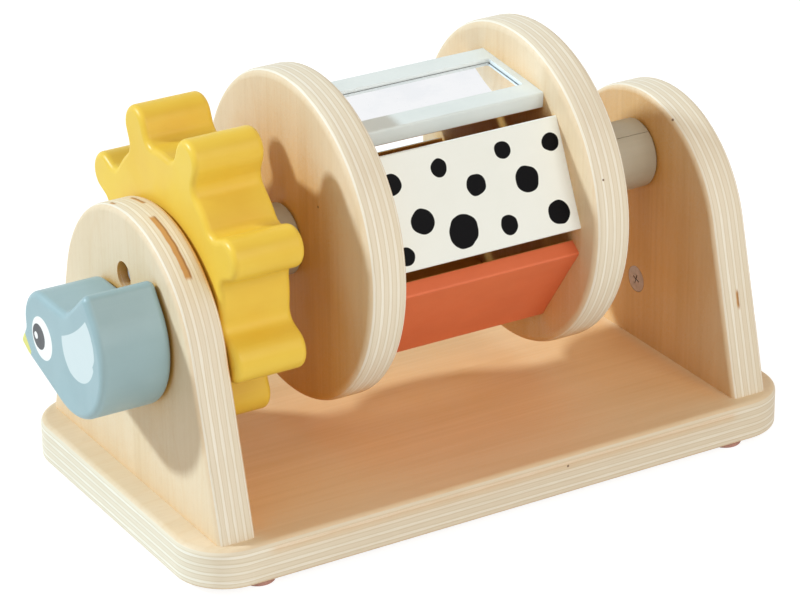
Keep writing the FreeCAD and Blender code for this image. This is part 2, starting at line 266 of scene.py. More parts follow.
streaks = noise(birch_grain, stretched(birch_grain, *STREAK_SCALES), 1.0, 5.0, 0.62)
bands = noise(birch_grain, stretched(birch_grain, *BAND_SCALES), 1.0, 2.0, 0.5)
pore_noise = noise(birch_grain, stretched(birch_grain, *PORE_SCALES), 1.0, 1.0, 0.5)
pores = rise(birch_grain, pore_noise, 0.63, 0.72)
ring_noise = noise(birch_grain, stretched(birch_grain, *RING_SCALES), 1.0, 1.0, 0.4)
ring_number = maths(birch_grain, "MULTIPLY", ring_noise, RING_COUNT)
ring_place = maths(birch_grain, "PINGPONG", ring_number, 1.0)
arches = rise(birch_grain, ring_place, 0.72, 1.0)
give(birch_grain, leaving, Streaks=streaks, Bands=bands, Pores=pores, Arches=arches)
print("made", birch_grain.name)

# %% [markdown]
# ### Plies
# The cut edge of plywood shows its sheets in turn: broad ones cut across the grain and thin paler
# ones cut along it, each with a slightly darker border where the glue soaked in. Rounding the
# depth to whole sheets gives the distance to the nearest pale one, and soft steps on that distance
# give the lines. A slow noise lets the lines wander a little.

# %% Group: plies
WANDER = 0.7
LINE_SOFTNESS = 0.16
BORDER_PLACE = 0.22
FIBRE_ALONG = 0.05
FIBRE_ACROSS = 1.9

ply_lines, arriving, leaving = start_group(
    "ply lines", ["Depth", "Point", "Pitch", "Width"], ["Pale", "Border", "Sheet", "Fibre"])
sheet_count = maths(ply_lines, "DIVIDE", arriving["Depth"], arriving["Pitch"])
sheet_number = maths(ply_lines, "ROUND", sheet_count)
off_middle = maths(ply_lines, "ABSOLUTE", maths(ply_lines, "SUBTRACT", sheet_count, sheet_number))
from_pale = maths(ply_lines, "MULTIPLY", off_middle, arriving["Pitch"])
half_width = maths(ply_lines, "MULTIPLY", arriving["Width"], 0.5)
wander = noise(ply_lines, arriving["Point"], 0.09, 3.0)
wander = maths(ply_lines, "MULTIPLY_ADD", wander, WANDER, -WANDER / 2)
edge_place = maths(ply_lines, "ADD", maths(ply_lines, "SUBTRACT", from_pale, half_width), wander)
pale = rise(ply_lines, edge_place, LINE_SOFTNESS, -LINE_SOFTNESS)
from_border = maths(ply_lines, "ABSOLUTE", maths(ply_lines, "SUBTRACT", edge_place, BORDER_PLACE))
border = rise(ply_lines, from_border, 0.3, 0.05)
sheet = ply_lines.nodes.new("ShaderNodeTexWhiteNoise")
sheet.noise_dimensions = "1D"
half_count = maths(ply_lines, "ROUND", maths(ply_lines, "MULTIPLY", sheet_count, 2.0))
wire(ply_lines, sheet.inputs["W"], half_count)
fibre_depth = maths(ply_lines, "MULTIPLY", arriving["Depth"], FIBRE_ACROSS)
fibre_where = ply_lines.nodes.new("ShaderNodeVectorMath")
fibre_where.operation = "MULTIPLY_ADD"
wire(ply_lines, fibre_where.inputs[0], arriving["Point"])
fibre_where.inputs[1].default_value = (FIBRE_ALONG, FIBRE_ALONG, FIBRE_ALONG)
wire(ply_lines, fibre_where.inputs[2], vector(ply_lines, fibre_depth, fibre_depth, fibre_depth))
fibre = noise(ply_lines, fibre_where.outputs[0], 1.0, 3.0, 0.6)
give(ply_lines, leaving, Pale=pale, Border=border, Sheet=sheet.outputs["Value"], Fibre=fibre)
print("made", ply_lines.name)

# %% [markdown]
# ### Paint skin
# The painted pieces are sprayed wood. The film is thin, so it has a faint orange peel, a slow
# drift in tone, and along the grain a trace of the wood below. One group gives all three, and each
# painted finish decides how strongly to use them.

# %% Group: paint skin
DRIFT_SCALE = 0.035
PEEL_SCALE = 0.75
WOOD_STRETCH = (0.03, 0.9, 0.9)

paint_skin, arriving, leaving = start_group("paint skin", ["Point"], ["Drift", "Peel", "Wood"])
drift = noise(paint_skin, arriving["Point"], DRIFT_SCALE, 3.0, 0.55)
peel = noise(paint_skin, arriving["Point"], PEEL_SCALE, 2.0, 0.5)
along_x = paint_skin.nodes.new("ShaderNodeVectorMath")
along_x.operation = "MULTIPLY"
wire(paint_skin, along_x.inputs[0], arriving["Point"])
along_x.inputs[1].default_value = WOOD_STRETCH
wood = noise(paint_skin, along_x.outputs[0], 1.0, 3.0, 0.55)
give(paint_skin, leaving, Drift=drift, Peel=peel, Wood=wood)
print("made", paint_skin.name)

# %% [markdown]
# ### Handling
# A toy is touched, so gloss is never even: fingers leave soft smudges and fine dust settles.
# The group gives one slow mask and one fine one, which change the roughness of several finishes.

# %% Group: handling
SMUDGE_SCALE = 0.06
DUST_SCALE = 2.6

handling, arriving, leaving = start_group("handling", ["Point"], ["Smudge", "Dust"])
smudge = rise(handling, noise(handling, arriving["Point"], SMUDGE_SCALE, 4.0, 0.6), 0.42, 0.68)
dust = rise(handling, noise(handling, arriving["Point"], DUST_SCALE, 1.0, 0.5), 0.7, 0.78)
give(handling, leaving, Smudge=smudge, Dust=dust)
print("made", handling.name)

# %% [markdown]
# ### Painted shade in sheltered places
# Light that gets in between the boards has bounced from wood to wood, and each bounce makes it
# warmer. A picture with few bounces shows too little of that, so this group paints that shade into
# the birch's colour: an Ambient Occlusion node measures how much of the view from a place is closed
# off by pieces nearby, and the mask that comes of it deepens the wood's colour there as painted
# shade. Start and Full say how open a place is where the mask begins and where it is complete.
# Near the table the mask fades out, so that the table under the base does not count.

# %% Group: painted shade in sheltered places
PAINTED_SHADE_REACH = 90 * MM
PAINTED_SHADE_RAYS = 4
CLEAR_OF_TABLE = (8.0, 16.0)

painted_shade, arriving, leaving = start_group("sheltered places", ["Start", "Full"], ["Share"])
closing = painted_shade.nodes.new("ShaderNodeAmbientOcclusion")
closing.samples = PAINTED_SHADE_RAYS
closing.inputs["Distance"].default_value = PAINTED_SHADE_REACH
closed = rise(painted_shade, closing.outputs["AO"], arriving["Start"], arriving["Full"])
above_table = rise(painted_shade, use(painted_shade, place_group)["Z"], *CLEAR_OF_TABLE)
give(painted_shade, leaving, Share=maths(painted_shade, "MULTIPLY", closed, above_table))
print("made", painted_shade.name)

# %% [markdown]
# ## Materials
# Each finish starts with a Principled shader. Values that are the same all over the surface are
# written straight on its sockets, and only what changes from place to place comes from nodes.

# %% Material helpers
def start_material(name, specular=0.5):
    """New material with a Principled shader, and the place group ready in it."""
    material = bpy.data.materials.new(name)
    material.use_nodes = True
    tree = material.node_tree
    shader = tree.nodes["Principled BSDF"]
    shader.inputs["Specular IOR Level"].default_value = specular
    return material, tree, shader, use(tree, place_group)


def raise_surface(tree, shader, height, depth):
    """Bump from a height between 0 and 1. Depth is the height of 1, in millimetres."""
    bump = tree.nodes.new("ShaderNodeBump")
    bump.inputs["Distance"].default_value = depth * MM
    wire(tree, bump.inputs["Height"], height)
    wire(tree, shader.inputs["Normal"], bump.outputs["Normal"])


def dress(material, *names):
    """Gives a material to solids of the model."""
    for name in names:
        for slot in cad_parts[name].material_slots:
            slot.material = material
    print(material.name, "on", ", ".join(names))


print("material helpers ready")

# %% [markdown]
# ## Birch plywood
# The base, the uprights and the discs are cut from the same birch plywood and lacquered. Their
# faces show grain and their cut edges show plies, although each is one solid. The material decides
# by depth: near either face it is veneer, and between them it is plies. So one function serves all
# boards, told which way the thickness and the grain run. Small flaws of the real boards, such as
# pin knots, are laid over at their own places. Where other pieces close the wood in, its colour is
# deepened as painted shade. The base is closed in everywhere between the uprights, so it has its
# own softer painted shade tone and its own values for the mask.

# %% Birch colours
BIRCH_LIGHT = colour("E8D4B6")
BIRCH_DARK = colour("E1CAA7")
# The deeper orange tones below are painted shade, for wood that other pieces close in.
BIRCH_PAINTED_SHADE = colour("DDA34E")
BIRCH_PAINTED_SHADE_GRAIN = (colour("E5AD58"), colour("D3963F"))
BASE_PAINTED_SHADE_GRAIN = (colour("F3C48C"), colour("E8B67C"))
PORE_BROWN = colour("CFA877")
ARCH_TAN = colour("D9B583")
PLY_CREAM = colour("E8DDC8")
PLY_PALE = colour("F5EFE1")
PLY_BORDER = colour("D3C3A3")
KNOT_BROWN = colour("6B4A33")
GAP_TAN = colour("CB985C")
GAP_SHADOW_BROWN = colour("7C512C")
print("open birch:", [round(channel, 2) for channel in BIRCH_LIGHT])
print("sheltered birch:", [round(channel, 2) for channel in BIRCH_PAINTED_SHADE])

# %% Birch faces
WOOD_GLOSS = 0.5
SMUDGE_GLOSS = 0.1
WOOD_RELIEF = 0.03


def birch_face(tree, place, along, across, depth, shift, share, shade_tones=BIRCH_PAINTED_SHADE_GRAIN):
    """Colour and height of a birch face, deepened with painted shade by the share that is closed
    off.
    """
    grain = use(tree, birch_grain, Along=maths(tree, "ADD", place[along], shift),
                Across=maths(tree, "ADD", place[across], shift), Depth=depth)
    tone = maths(tree, "ADD", maths(tree, "MULTIPLY", grain["Streaks"], 0.55),
                 maths(tree, "MULTIPLY", grain["Bands"], 0.75))
    dark_share = rise(tree, tone, 0.4, 0.95)
    face = mix(tree, dark_share, BIRCH_LIGHT, BIRCH_DARK)
    face = mix(tree, maths(tree, "MULTIPLY", grain["Arches"], 0.12), face, ARCH_TAN)
    face = mix(tree, maths(tree, "MULTIPLY", grain["Pores"], 0.18), face, PORE_BROWN)
    # painted shade: the share that is closed off takes the deeper tones
    face = mix(tree, share, face, mix(tree, dark_share, *shade_tones))
    streak_height = maths(tree, "MULTIPLY", grain["Streaks"], 0.4)
    return face, maths(tree, "SUBTRACT", streak_height, grain["Pores"])


def wood_gloss(tree, shader, place):
    """Satin lacquer, a little duller where fingers were."""
    touch = use(tree, handling, Point=place["Point"])
    gloss = maths(tree, "MULTIPLY_ADD", touch["Smudge"], SMUDGE_GLOSS, WOOD_GLOSS)
    wire(tree, shader.inputs["Roughness"], gloss)


print("roughness of the lacquer:", WOOD_GLOSS)

# %% Cut edges and knots
PLY_PITCH = 3.27
PALE_WIDTH = 1.0


def ply_edge(tree, place, depth, phase, share):
    """Colour and height of a cut edge with its plies, deepened with painted shade where closed in.
    """
    ply = use(tree, ply_lines, Depth=maths(tree, "ADD", depth, phase), Point=place["Point"],
              Pitch=PLY_PITCH, Width=PALE_WIDTH)
    fibre = rise(tree, ply["Fibre"], 0.42, 0.85)
    edge = mix(tree, maths(tree, "MULTIPLY", ply["Border"], 0.5), PLY_CREAM, PLY_BORDER)
    edge = mix(tree, maths(tree, "MULTIPLY", ply["Pale"], 0.85), edge, PLY_PALE)
    edge = mix(tree, maths(tree, "MULTIPLY", ply["Sheet"], 0.15), edge, PLY_BORDER)
    edge = mix(tree, maths(tree, "MULTIPLY", fibre, 0.5), edge, PLY_BORDER)
    # painted shade where the edge is closed in
    edge = mix(tree, maths(tree, "POWER", share, 3.0), edge, BIRCH_PAINTED_SHADE)
    return edge, maths(tree, "ADD", ply["Fibre"], maths(tree, "MULTIPLY", ply["Pale"], 0.5))


def spot(tree, place, centre, radius):
    """Mask of a small round flaw."""
    node = tree.nodes.new("ShaderNodeVectorMath")
    node.operation = "DISTANCE"
    wire(tree, node.inputs[0], place["Point"])
    node.inputs[1].default_value = centre
    return rise(tree, node.outputs["Value"], radius, 0.45 * radius)


print("plies are", PLY_PITCH, "mm apart")

# %% One board
VENEER = 0.95
VENEER_SOFTNESS = 0.15
PAINTED_SHADE_LIMITS = {"Start": 0.58, "Full": 0.2}
BASE_PAINTED_SHADE_LIMITS = {"Start": 0.95, "Full": 0.35}
UPRIGHTS_INSIDE = (-96.0, 109.0)
UPRIGHTS_SOFTNESS = 5.0


def plywood(name, node, thick, along, across, shift, phase=0.0, knots=(), gaps=None,
            between_uprights=False):
    """Lacquered plywood for one board, from the box of the solid that it dresses."""
    axis = "XYZ".index(thick)
    low, high = (corner[axis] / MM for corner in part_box(node))
    veneer_depth = (high - low) / 2 - VENEER
    material, tree, shader, place = start_material(name, specular=0.25)
    depth = maths(tree, "SUBTRACT", place[thick], (high + low) / 2)
    face_share = rise(tree, maths(tree, "ABSOLUTE", depth),
                      veneer_depth - VENEER_SOFTNESS, veneer_depth + VENEER_SOFTNESS)
    # The share that is closed off carries painted shade into the wood's colour.
    if between_uprights:
        inside = between(tree, place["X"], *UPRIGHTS_INSIDE, UPRIGHTS_SOFTNESS)
        share = maths(tree, "MULTIPLY", use(tree, painted_shade, **BASE_PAINTED_SHADE_LIMITS)["Share"], inside)
        shade_tones = BASE_PAINTED_SHADE_GRAIN
    else:
        share = use(tree, painted_shade, **PAINTED_SHADE_LIMITS)["Share"]
        shade_tones = BIRCH_PAINTED_SHADE_GRAIN
    face, face_height = birch_face(tree, place, along, across, depth, shift, share, shade_tones)
    edge, edge_height = ply_edge(tree, place, depth, phase, share)
    surface = mix(tree, face_share, edge, face)
    for centre, radius in knots:
        surface = mix(tree, spot(tree, place, centre, radius), surface, KNOT_BROWN)
    if gaps is not None:
        # The slot's darker line is painted shadow on its shaded side.
        gap, gap_shadow = gaps(tree, place)
        surface = mix(tree, gap, surface, GAP_TAN)
        surface = mix(tree, gap_shadow, surface, GAP_SHADOW_BROWN)
    wire(tree, shader.inputs["Base Color"], surface)
    wood_gloss(tree, shader, place)
    edge_share = maths(tree, "SUBTRACT", 1.0, face_share)
    height = maths(tree, "ADD", maths(tree, "MULTIPLY", face_height, face_share),
                   maths(tree, "MULTIPLY", edge_height, edge_share))
    raise_surface(tree, shader, height, WOOD_RELIEF)
    return material


print("veneer is", VENEER, "mm thick")

# %% Base and discs
BASE_KNOT = ((30.9, -72.3, 14.4), 0.6)
LEFT_DISC_KNOT = ((-46.1, -24.9, 118.9), 0.6)
RIGHT_DISC_KNOT = ((53.8, -58.85, 119.07), 0.55)

dress(plywood("birch plywood base", "base_board", "Z", "X", "Y", 31.0, PLY_PITCH / 2,
              knots=[BASE_KNOT], between_uprights=True), "base_board")
dress(plywood("birch plywood left disc", "left_disc", "X", "Z", "Y", 57.0,
              knots=[LEFT_DISC_KNOT]), "left_disc")
dress(plywood("birch plywood right disc", "right_disc", "X", "Z", "Y", 83.0,
              knots=[RIGHT_DISC_KNOT]), "right_disc")

# %% [markdown]
# ### Uprights and their core gaps
# In the uprights' edges some inner sheets have gaps, long slots that show the darker sheet behind.
# They lie on the arch, so they are placed by the angle round the arch and by the depth in the
# board. A slot has a darker line on the side that is in its own shadow.

# %% Core gaps
ARCH_CENTRE_Z = 71.9
ARCH_RADIUS = 51.2
GAP_RAGGED = 0.8
GAP_SHADOW_WIDTH = 0.7
GAP_SHADOW_SHARE = 0.55
LEFT_GAPS = [
    (46.0, 80.5, -105.5, -103.0),
    (93.0, 105.0, -102.3, -101.0),
    (100.5, 104.5, -110.5, -109.4),
]
RIGHT_GAPS = [(-18.8, -13.5, 116.9, 118.0)]


def gaps_on_arch(gaps):
    """Function that draws gaps, each given as its two angles and two places through the board."""
    def draw(tree, place):
        front = maths(tree, "MULTIPLY", place["Y"], -1.0)
        up = maths(tree, "SUBTRACT", place["Z"], ARCH_CENTRE_Z)
        angle = maths(tree, "ARCTAN2", up, front)
        square = maths(tree, "MULTIPLY_ADD", up, up, maths(tree, "MULTIPLY", front, front))
        rim = rise(tree, maths(tree, "SQRT", square), ARCH_RADIUS - 4.0, ARCH_RADIUS - 3.0)
        ragged = noise(tree, place["Point"], 0.2, 2.0)
        ragged = maths(tree, "MULTIPLY_ADD", ragged, GAP_RAGGED, -GAP_RAGGED / 2)
        across = maths(tree, "ADD", place["X"], ragged)
        whole, shadow = 0.0, 0.0
        for start, end, low, high in gaps:
            length = between(tree, angle, math.radians(start), math.radians(end), 0.02)
            length = maths(tree, "MULTIPLY", length, rim)
            inside = maths(tree, "MULTIPLY", length, between(tree, across, low, high, 0.3))
            in_shadow = between(tree, across, high - GAP_SHADOW_WIDTH, high, 0.35)
            dark = maths(tree, "MULTIPLY", length, in_shadow)
            whole = maths(tree, "MAXIMUM", whole, inside)
            shadow = maths(tree, "MAXIMUM", shadow, dark)
        return whole, maths(tree, "MULTIPLY", shadow, GAP_SHADOW_SHARE)
    return draw


print("gaps:", len(LEFT_GAPS), "in the left upright and", len(RIGHT_GAPS), "in the right one")

# %% Uprights
RIGHT_UPRIGHT_KNOT = ((110.5, -21.3, 118.0), 0.95)

dress(plywood("birch plywood left upright", "left_upright", "X", "Z", "Y", 11.0,
              gaps=gaps_on_arch(LEFT_GAPS)), "left_upright")
dress(plywood("birch plywood right upright", "right_upright", "X", "Z", "Y", 149.0,
              knots=[RIGHT_UPRIGHT_KNOT], gaps=gaps_on_arch(RIGHT_GAPS)), "right_upright")

# %% [markdown]
# ## Painted pieces
# All paints share one recipe: a colour with a lighter and a darker tone, the paint skin for drift
# and peel, and smudges in the gloss. The drum's panels are painted outside and on their edges but
# left bare inside, so their recipe also measures how far a place is from the axle.

# %% Paint
AXLE_Z = 98.3
PANEL_INSIDE = 40.9
FIRST_PANEL_ANGLE = 84.3
PANEL_STEP = 60.0
PAINT_GLOSS = 0.36
DUST_GLOSS = 0.15
PAINT_SPECULAR = 0.3
FILM_RELIEF = 0.015


def paint_over(tree, shader, place, painted):
    """Finishes a painted surface: gloss with smudges, and the bump of the film."""
    skin = use(tree, paint_skin, Point=place["Point"])
    touch = use(tree, handling, Point=place["Point"])
    wire(tree, shader.inputs["Base Color"], painted)
    gloss = maths(tree, "MULTIPLY_ADD", touch["Smudge"], SMUDGE_GLOSS, PAINT_GLOSS)
    gloss = maths(tree, "MULTIPLY_ADD", touch["Dust"], DUST_GLOSS, gloss)
    wire(tree, shader.inputs["Roughness"], gloss)
    wood_below = maths(tree, "MULTIPLY", skin["Wood"], 0.15)
    film = maths(tree, "MULTIPLY_ADD", skin["Peel"], 0.7, wood_below)
    raise_surface(tree, shader, film, FILM_RELIEF)


def paint_tone(tree, place, light, dark):
    """Paint colour with its slow drift and a trace of the wood below."""
    skin = use(tree, paint_skin, Point=place["Point"])
    drift = maths(tree, "MULTIPLY", skin["Drift"], 0.9)
    tone = maths(tree, "MULTIPLY_ADD", skin["Wood"], 0.12, drift)
    return mix(tree, rise(tree, tone, 0.3, 0.8), light, dark)


def paint(name, light, dark):
    """Paint all over a piece."""
    material, tree, shader, place = start_material(name, PAINT_SPECULAR)
    paint_over(tree, shader, place, paint_tone(tree, place, light, dark))
    return material


def outwards(tree, place, degrees):
    """Distance from the axle towards a panel, whose angle is measured upwards from the front."""
    angle = math.radians(degrees)
    up = maths(tree, "SUBTRACT", place["Z"], AXLE_Z)
    front = maths(tree, "MULTIPLY", place["Y"], -math.cos(angle))
    return maths(tree, "MULTIPLY_ADD", up, math.sin(angle), front)


def panel_paint(name, index, light, dark, print_on=None, specular=PAINT_SPECULAR):
    """Paint on the outside and edges of one of the drum's panels, with bare birch inside that takes
    painted shade.
    """
    degrees = FIRST_PANEL_ANGLE - PANEL_STEP * index
    material, tree, shader, place = start_material(name, specular)
    painted = paint_tone(tree, place, light, dark)
    if print_on is not None:
        painted = print_on(tree, place, painted, math.radians(degrees))
    out = outwards(tree, place, degrees)
    # painted shade for the bare birch inside, by the share that is closed off
    share = use(tree, painted_shade, **PAINTED_SHADE_LIMITS)["Share"]
    bare = birch_face(tree, place, "X", "Y", out, 17.0 * index, share)[0]
    film = rise(tree, out, PANEL_INSIDE + 0.25, PANEL_INSIDE + 0.6)
    paint_over(tree, shader, place, mix(tree, film, bare, painted))
    return material


print("panels stand", PANEL_STEP, "degrees apart")

# %% Painted pieces
YELLOW = (colour("EBC74A"), colour("E6BC40"))
TAUPE = (colour("B9B09D"), colour("ABA18C"))
KNOB_TERRACOTTA = (colour("D96B42"), colour("CF633B"))
PALE_BLUE = (colour("E1E8E7"), colour("D9E1E0"))
TERRACOTTA = (colour("E1744A"), colour("D86C44"))
PANEL_BLUE = (colour("A9C3C9"), colour("9DB8BE"))

dress(paint("yellow paint on the cog", *YELLOW), "cog_wheel")
dress(paint("taupe paint on the sleeves", *TAUPE), "cog_sleeve", "drum_sleeve")
dress(paint("terracotta paint on the round knob", *KNOB_TERRACOTTA), "round_knob")
dress(panel_paint("pale blue mirror frame", 0, *PALE_BLUE), "mirror_frame")
dress(panel_paint("terracotta panel", 2, *TERRACOTTA), "terracotta_panel")
dress(panel_paint("yellow panel", 3, *YELLOW), "yellow_panel")
dress(panel_paint("blue panel", 4, *PANEL_BLUE), "blue_panel")

# %% [markdown]
# ### The dotted panel
# The white panel is printed with uneven black dots, as if dabbed on with a brush. Each dot is a
# circle in the panel's own plane, and a soft noise pushes its rim in and out. Taking the largest
# of the masks puts all the dots in one print. This panel shines less than the others.

# %% Dotted panel
WHITE = (colour("F1F4EF"), colour("EDF0EA"))
WHITE_SPECULAR = 0.06
DOT_BLACK = colour("0B0A0C")
DOT_WOBBLE = 1.6
DOT_SOFTNESS = 0.12
PANEL_FACE = (PANEL_INSIDE + 5.9, PANEL_INSIDE + 6.2)
DOTS = [
    (-3.4, 12.4, 3.4), (10.0, 3.5, 4.0), (23.7, 13.4, 3.4), (31.3, 1.2, 5.0), (44.1, 12.2, 3.5),
    (-14.6, -5.1, 4.7), (1.0, -11.8, 6.3), (20.1, -13.7, 3.6), (41.4, -13.5, 4.7),
    (-23.6, 10.4, 4.1), (-24.0, -15.8, 3.3),
]


def dots(tree, place, painted, angle):
    """Black dots given as place along the panel, place up its face, and radius."""
    up = maths(tree, "SUBTRACT", place["Z"], AXLE_Z)
    back = maths(tree, "MULTIPLY", place["Y"], math.sin(angle))
    up_face = maths(tree, "MULTIPLY_ADD", up, math.cos(angle), back)
    wobble = noise(tree, place["Point"], 0.16, 1.0)
    wobble = maths(tree, "MULTIPLY_ADD", wobble, DOT_WOBBLE, -DOT_WOBBLE / 2)
    ink = 0.0
    for along, height, radius in DOTS:
        aside = maths(tree, "SUBTRACT", place["X"], along)
        above = maths(tree, "SUBTRACT", up_face, height)
        square = maths(tree, "MULTIPLY_ADD", aside, aside, maths(tree, "MULTIPLY", above, above))
        reach = maths(tree, "ADD", maths(tree, "SQRT", square), wobble)
        dot = rise(tree, reach, radius + DOT_SOFTNESS, radius - DOT_SOFTNESS)
        ink = maths(tree, "MAXIMUM", ink, dot)
    facing = rise(tree, outwards(tree, place, math.degrees(angle)), *PANEL_FACE)
    return mix(tree, maths(tree, "MULTIPLY", ink, facing), painted, DOT_BLACK)


dress(panel_paint("white panel with dots", 1, *WHITE, dots, WHITE_SPECULAR), "dotted_panel")

# %% [markdown]
# ### The bird
# The bird is sawn from thick board and painted dusty blue. Its eye, wing and beak are printed on
# the outer face only. The marks are made of circles: the wing is what is left of one circle after
# another has cut its upper edge, and its lower end is scalloped like feathers. A slanting line
# ends the beak.

# %% Marks on the bird
BIRD_FACE_X = -140.9
PRINT_DEPTH = (1.2, 0.9)
BIRD_BLUE = (colour("99B4B9"), colour("91ACB1"))
EYE_WHITE = colour("F4F3EF")
PUPIL_GREY = colour("404245")
BEAK_YELLOW = colour("DCD66E")
WING_BLUE = colour("CDDADB")
WING_CENTRE = (19.2, 83.0)
WING_RADIUS = 12.5
BEAK_SLANT = (-0.767, -0.642)
BEAK_LINE = (-27.95, -27.65)


def round_mark(tree, across, up, centre, radius, soft=0.03):
    """Mask of a round mark. The softness is a share of the radius squared."""
    aside = maths(tree, "DIVIDE", maths(tree, "SUBTRACT", across, centre[0]), radius)
    above = maths(tree, "DIVIDE", maths(tree, "SUBTRACT", up, centre[1]), radius)
    square = maths(tree, "MULTIPLY_ADD", aside, aside, maths(tree, "MULTIPLY", above, above))
    return rise(tree, square, 1 + soft, 1 - soft)


def wing_mask(tree, across, up):
    """Wing with a pointed top and a scalloped lower end."""
    right_side = round_mark(tree, across, up, (18.0, 86.0), 14.6, 0.02)
    upper_cut = round_mark(tree, across, up, (-16.3, 140.9), 61.0, 0.005)
    aside = maths(tree, "SUBTRACT", across, WING_CENTRE[0])
    above = maths(tree, "SUBTRACT", up, WING_CENTRE[1])
    below = maths(tree, "MINIMUM", above, 0.0)
    square = maths(tree, "MULTIPLY_ADD", aside, aside, maths(tree, "MULTIPLY", below, below))
    turn = maths(tree, "ARCTAN2", above, aside)
    wave = maths(tree, "COSINE", maths(tree, "MULTIPLY_ADD", turn, 4.19, -1.2))
    feathers = maths(tree, "ABSOLUTE", wave)
    scallop = maths(tree, "MULTIPLY_ADD", feathers, 1.9, -0.7)
    lower_rim = maths(tree, "MULTIPLY_ADD", scallop, rise(tree, across, 19.0, 24.0), WING_RADIUS)
    past_rim = maths(tree, "SUBTRACT", maths(tree, "SQRT", square), lower_rim)
    inside = rise(tree, past_rim, 0.15, -0.15)
    wing = maths(tree, "MULTIPLY", right_side, inside)
    return maths(tree, "MULTIPLY", wing, maths(tree, "SUBTRACT", 1.0, upper_cut))


def beak_mask(tree, across, up):
    """Tip of the beak, in front of a slanting line."""
    near_tip = round_mark(tree, across, up, (-27.0, 68.8), 7.0)
    upright_part = maths(tree, "MULTIPLY", up, BEAK_SLANT[1])
    slant = maths(tree, "MULTIPLY_ADD", across, BEAK_SLANT[0], upright_part)
    return maths(tree, "MULTIPLY", near_tip, rise(tree, slant, *BEAK_LINE))


print("marks are printed on the face at", BIRD_FACE_X, "mm")

# %% Bird
bird_paint, tree, shader, place = start_material("blue paint and print on the bird")
across = maths(tree, "MULTIPLY", place["Y"], -1.0)
marks = [
    (wing_mask(tree, across, place["Z"]), WING_BLUE),
    (round_mark(tree, across, place["Z"], (-10.0, 76.6), 8.2), EYE_WHITE),
    (round_mark(tree, across, place["Z"], (-12.7, 76.3), 4.9), PUPIL_GREY),
    (round_mark(tree, across, place["Z"], (-15.0, 76.0), 1.4), EYE_WHITE),
    (beak_mask(tree, across, place["Z"]), BEAK_YELLOW),
]
on_face = rise(tree, place["X"], *(BIRD_FACE_X + depth for depth in PRINT_DEPTH))
bird_colour = paint_tone(tree, place, *BIRD_BLUE)
for mask, ink in marks:
    bird_colour = mix(tree, maths(tree, "MULTIPLY", mask, on_face), bird_colour, ink)
paint_over(tree, shader, place, bird_colour)
dress(bird_paint, "bird_knob")

# %% [markdown]
# ## Plain birch
# The axle and the last panel are birch without paint. Their grain runs along the axle.

# %% Plain birch
plain_birch, tree, shader, place = start_material("plain birch", specular=0.4)
# painted shade for the plain birch, by the share that is closed off
share = use(tree, painted_shade, **PAINTED_SHADE_LIMITS)["Share"]
bare, bare_height = birch_face(tree, place, "X", "Y", place["Z"], 203.0, share)
wire(tree, shader.inputs["Base Color"], bare)
wood_gloss(tree, shader, place)
raise_surface(tree, shader, bare_height, WOOD_RELIEF)
dress(plain_birch, "axle_rod", "birch_panel")

# %% [markdown]
# ## Mirror
# The mirror is silvered acrylic. A metal with almost no roughness gives a clear reflection, and
# smudges and dust in the roughness keep it from looking like a hole in the picture. A thin dark
# rim along the plate's edge is painted shade, standing for the shaded wall of the recess round the
# plate and its reflection.

# %% Mirror
SHADE_RIM_WIDTH = 0.8
PAINTED_SHADE_RIM_GREY = colour("6A6E72")
SILVER = (colour("F4F5F7"), colour("EFF1F4"))
DUST_GREY = colour("B9BDC2")
CLEAR_GLOSS = 0.02

mirror, tree, shader, place = start_material("silvered mirror")
shader.inputs["Metallic"].default_value = 1.0
touch = use(tree, handling, Point=place["Point"])
silver = mix(tree, touch["Smudge"], *SILVER)
silver = mix(tree, maths(tree, "MULTIPLY", touch["Dust"], 0.3), silver, DUST_GREY)
low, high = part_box("mirror_plate")
rim = 0.0
for axis, start, end in zip("XY", low, high):
    middle, half = (start + end) / 2 / MM, (end - start) / 2 / MM
    off_middle = maths(tree, "ABSOLUTE", maths(tree, "SUBTRACT", place[axis], middle))
    edge = rise(tree, off_middle, half - SHADE_RIM_WIDTH, half - 0.5 * SHADE_RIM_WIDTH)
    rim = maths(tree, "MAXIMUM", rim, edge)
# painted shade: the dark rim stands for the shaded recess wall and its reflection
wire(tree, shader.inputs["Base Color"], mix(tree, rim, silver, PAINTED_SHADE_RIM_GREY))
haze = maths(tree, "MULTIPLY_ADD", touch["Smudge"], CLEAR_GLOSS, CLEAR_GLOSS)
wire(tree, shader.inputs["Roughness"], maths(tree, "MULTIPLY_ADD", touch["Dust"], 0.2, haze))
dress(mirror, "mirror_plate")

# %% [markdown]
# ## Feet and washers
# The feet are soft pads of salmon rubber and the washers are black plastic. Both are matte, with a
# fine moulded texture.

# %% Feet and washers
SALMON = (colour("CFA094"), colour("BE8D80"))
BLACK = (colour("3A3936"), colour("2E2D2B"))


def moulded(name, light, dark, roughness, grain):
    """Matte moulded material with a fine texture."""
    material, tree, shader, place = start_material(name, specular=0.35)
    speckle = noise(tree, place["Point"], grain, 3.0, 0.6)
    wire(tree, shader.inputs["Base Color"], mix(tree, rise(tree, speckle, 0.3, 0.7), light, dark))
    touch = use(tree, handling, Point=place["Point"])
    gloss = maths(tree, "MULTIPLY_ADD", touch["Smudge"], -0.08, roughness)
    wire(tree, shader.inputs["Roughness"], gloss)
    raise_surface(tree, shader, speckle, 0.04)
    return material


dress(moulded("salmon rubber", *SALMON, roughness=0.8, grain=1.8), "foot_pads")
dress(moulded("black washer plastic", *BLACK, roughness=0.6, grain=2.5),
      "bird_washer", "round_knob_washer")

